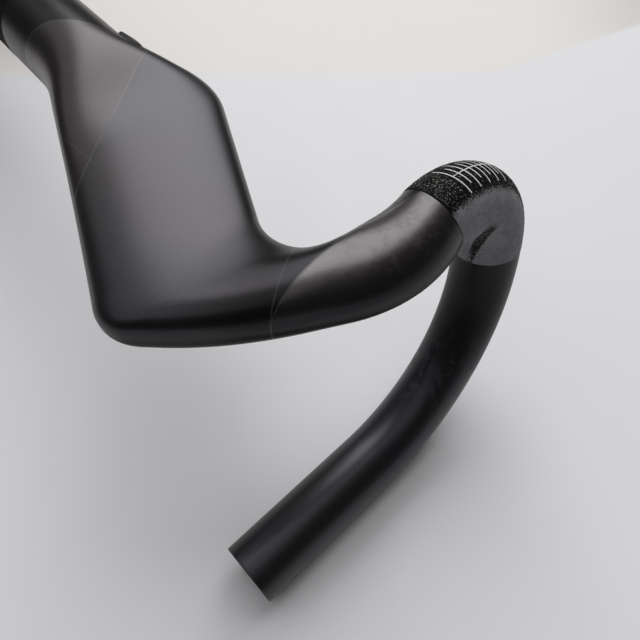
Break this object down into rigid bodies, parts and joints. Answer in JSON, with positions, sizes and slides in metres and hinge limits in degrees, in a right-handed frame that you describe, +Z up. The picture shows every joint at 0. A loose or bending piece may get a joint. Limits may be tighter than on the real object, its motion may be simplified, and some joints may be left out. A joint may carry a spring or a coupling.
{
  "type": "gravel drop handlebar",
  "caption": "Moulded hollow drop handlebar with swept flat tops, flared drops, a round stem clamp zone, gritty lever seats and rubber hose ports.",
  "frame": {"origin": "middle of the round stem clamp zone, on its axis", "axes": "+X to the rider's right along the clamp's axis, +Y forward, +Z up; the straight bar ends are level"},
  "size_m": [0.4736, 0.1416, 0.1274],
  "materials": {
    "carbon_shell": "matt clear coat over black laminate, gritty at the clamp and lever seats",
    "port_rubber": "soft matt black rubber"
  },
  "bodies": {
    "root": {"bar_shell": "carbon_shell", "port_grommet_right": "port_rubber", "port_grommet_left": "port_rubber"}
  },
  "joints": []
}
